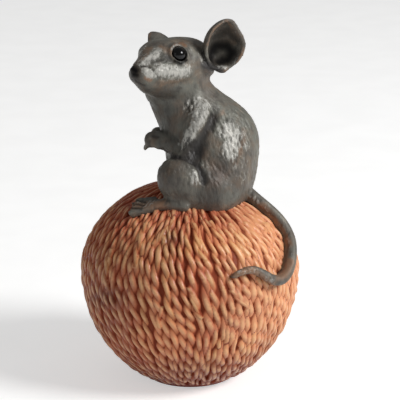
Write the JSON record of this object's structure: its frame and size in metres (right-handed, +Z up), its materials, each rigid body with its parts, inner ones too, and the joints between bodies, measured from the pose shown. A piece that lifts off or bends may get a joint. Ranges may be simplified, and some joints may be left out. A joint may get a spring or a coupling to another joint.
{
  "type": "mouse figurine",
  "caption": "Mouse sitting up on a ball of wool, a free-standing tabletop ornament cast in pieces on dowels.",
  "frame": {"origin": "middle of the felt on the underside of the ball, at the height of the table", "axes": "+Z up, the mouse's body faces -X and its left side is towards -Y"},
  "size_m": [0.0664, 0.0664, 0.1112],
  "materials": {
    "wool_cast": "painted casting resin, terracotta with tan tints and dark red grooves, satin",
    "felt": "dark red-brown felt",
    "bronze_cast": "cold-cast bronze resin, dark grey-brown patina with rubbed silver and copper highlights",
    "eye_bead": "polished black bead",
    "steel_pin": "plain steel rod"
  },
  "bodies": {
    "root": {"wool_ball": "wool_cast", "base_felt": "felt", "torso": "bronze_cast", "head": "bronze_cast", "left_ear": "bronze_cast", "right_ear": "bronze_cast", "left_eye": "eye_bead", "right_eye": "eye_bead", "left_foreleg": "bronze_cast", "right_foreleg": "bronze_cast", "left_hind_leg": "bronze_cast", "right_hind_leg": "bronze_cast", "tail": "bronze_cast", "neck_pin": "steel_pin", "left_seat_pin": "steel_pin", "right_seat_pin": "steel_pin", "tail_pin": "steel_pin"}
  },
  "joints": []
}
